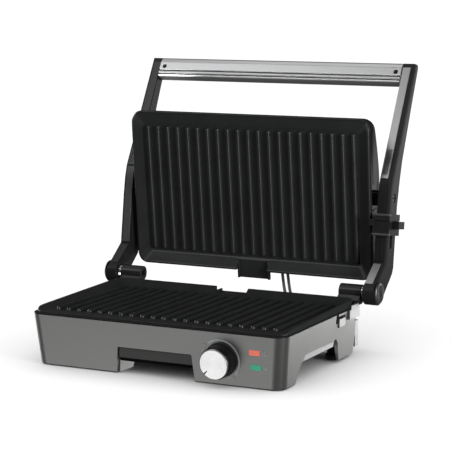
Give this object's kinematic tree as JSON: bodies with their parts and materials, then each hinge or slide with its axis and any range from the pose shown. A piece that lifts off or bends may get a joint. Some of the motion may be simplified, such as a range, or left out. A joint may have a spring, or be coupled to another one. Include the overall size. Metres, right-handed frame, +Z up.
{
  "type": "panini press",
  "caption": "Open contact grill: ribbed lower plate on a boxed base with knob, lamps and drip tray, and a ribbed platen hung between two side arms joined by a handle bar.",
  "frame": {"origin": "middle of the press's footprint box, on the table", "axes": "+Z up, front of the press (knob and drip tray) towards -Y, +X to the right as seen from the front"},
  "size_m": [0.3854, 0.3664, 0.346],
  "materials": {
    "base_housing": "satin gunmetal paint",
    "bottom_cover": "fine satin black",
    "tray_guide": "fine satin black",
    "lower_reflector": "mill sheet",
    "lower_element": "heat-tinted sheath",
    "thermostat": "plated can",
    "lamp_block": "unglazed",
    "terminal_block": "unglazed",
    "lens_power": "translucent red",
    "lens_ready": "translucent green",
    "power_inlet": "fine satin black",
    "temperature_scale": "light grey print",
    "foot_front_left": "matte",
    "foot_front_right": "matte",
    "foot_rear_left": "matte",
    "foot_rear_right": "matte",
    "hinge_bracket_left": "satin dark grey",
    "hinge_bracket_right": "satin dark grey",
    "hinge_washer_left": "turned",
    "hinge_washer_right": "turned",
    "hinge_pin_left": "machined",
    "hinge_pin_right": "machined",
    "lower_grill_plate": "matte black non-stick on cast aluminium",
    "lead_a": "woven heat-resistant sleeve",
    "lead_b": "woven heat-resistant sleeve",
    "plate_latch_right": "satin gunmetal paint",
    "plate_latch_left": "satin gunmetal paint",
    "drip_tray": "satin dark grey",
    "drip_tray_front": "satin gunmetal paint",
    "knob_skirt": "fine satin black",
    "knob_cap": "spun",
    "knob_shaft": "machined",
    "arm_left": "satin dark grey",
    "arm_right": "satin dark grey",
    "handle_bar": "brushed",
    "handle_screw_left": "blackened",
    "handle_screw_right": "blackened",
    "hinge_cap_left": "satin",
    "hinge_cap_right": "satin",
    "pivot_screw_left": "machined",
    "pivot_screw_right": "machined",
    "arm_trim_upper_left": "satin dark grey",
    "arm_trim_upper_right": "brushed",
    "arm_trim_mid_left": "satin",
    "arm_trim_mid_right": "satin dark grey",
    "arm_trim_lower_left": "satin dark grey",
    "arm_trim_lower_right": "brushed",
    "lock_collar": "satin dark grey",
    "lock_lever": "fine satin black",
    "pivot_block_left": "fine satin black",
    "pivot_block_right": "fine satin black",
    "upper_grill_plate": "matte black non-stick on cast aluminium",
    "upper_housing": "fine satin black",
    "upper_cover": "brushed",
    "upper_reflector": "mill sheet",
    "upper_element": "heat-tinted sheath"
  },
  "bodies": {
    "base": {"base_housing": "base_housing", "bottom_cover": "bottom_cover", "tray_guide": "tray_guide", "lower_reflector": "lower_reflector", "lower_element": "lower_element", "thermostat": "thermostat", "lamp_block": "lamp_block", "terminal_block": "terminal_block", "lens_power": "lens_power", "lens_ready": "lens_ready", "power_inlet": "power_inlet", "temperature_scale": "temperature_scale", "foot_front_left": "foot_front_left", "foot_front_right": "foot_front_right", "foot_rear_left": "foot_rear_left", "foot_rear_right": "foot_rear_right", "hinge_bracket_left": "hinge_bracket_left", "hinge_bracket_right": "hinge_bracket_right", "hinge_washer_left": "hinge_washer_left", "hinge_washer_right": "hinge_washer_right", "hinge_pin_left": "hinge_pin_left", "hinge_pin_right": "hinge_pin_right", "lower_grill_plate": "lower_grill_plate", "lead_a": "lead_a", "lead_b": "lead_b"},
    "latch_right": {"plate_latch_right": "plate_latch_right"},
    "latch_left": {"plate_latch_left": "plate_latch_left"},
    "tray": {"drip_tray": "drip_tray", "drip_tray_front": "drip_tray_front"},
    "knob": {"knob_skirt": "knob_skirt", "knob_cap": "knob_cap", "knob_shaft": "knob_shaft"},
    "handle_frame": {"arm_left": "arm_left", "arm_right": "arm_right", "handle_bar": "handle_bar", "handle_screw_left": "handle_screw_left", "handle_screw_right": "handle_screw_right", "hinge_cap_left": "hinge_cap_left", "hinge_cap_right": "hinge_cap_right", "pivot_screw_left": "pivot_screw_left", "pivot_screw_right": "pivot_screw_right", "arm_trim_upper_left": "arm_trim_upper_left", "arm_trim_upper_right": "arm_trim_upper_right", "arm_trim_mid_left": "arm_trim_mid_left", "arm_trim_mid_right": "arm_trim_mid_right", "arm_trim_lower_left": "arm_trim_lower_left", "arm_trim_lower_right": "arm_trim_lower_right"},
    "lock": {"lock_collar": "lock_collar", "lock_lever": "lock_lever"},
    "platen": {"upper_grill_plate": "upper_grill_plate", "upper_housing": "upper_housing", "upper_cover": "upper_cover", "upper_reflector": "upper_reflector", "upper_element": "upper_element", "pivot_block_left": "pivot_block_left", "pivot_block_right": "pivot_block_right"}
  },
  "joints": [
    {"name": "lid_hinge", "type": "hinge", "parent": "base", "child": "handle_frame", "pos_m": [-0.0038, 0.05729, 0.0764], "axis": [1, 0, 0], "range_deg": [0, 102.4]},
    {"name": "platen_levelling", "type": "hinge", "parent": "handle_frame", "child": "platen", "pos_m": [-0.0038, 0.10529, 0.186], "axis": [1, 0, 0], "range_deg": [-18.9, 0.01]},
    {"name": "temperature_knob", "type": "hinge", "parent": "base", "child": "knob", "pos_m": [0.0809, -0.16355, 0.0296], "axis": [0, -0.9954, -0.0957], "range_deg": [-270, 0]},
    {"name": "drip_tray_slide", "type": "slide", "parent": "base", "child": "tray", "axis": [0, -1, 0], "range_m": [0, 0.125]},
    {"name": "lock_slide", "type": "slide", "parent": "handle_frame", "child": "lock", "axis": [0, -0.1338, -0.991], "range_m": [0, 0.021]},
    {"name": "latch_right_press", "type": "slide", "parent": "base", "child": "latch_right", "axis": [-1, 0, 0], "range_m": [0, 0.003], "stiffness_N_per_m": 400},
    {"name": "latch_left_press", "type": "slide", "parent": "base", "child": "latch_left", "axis": [1, 0, 0], "range_m": [0, 0.003], "stiffness_N_per_m": 400}
  ],
  "couplings": [
    {"joint": "platen_levelling", "follows": "lid_hinge", "ratio": -0.18438}
  ]
}
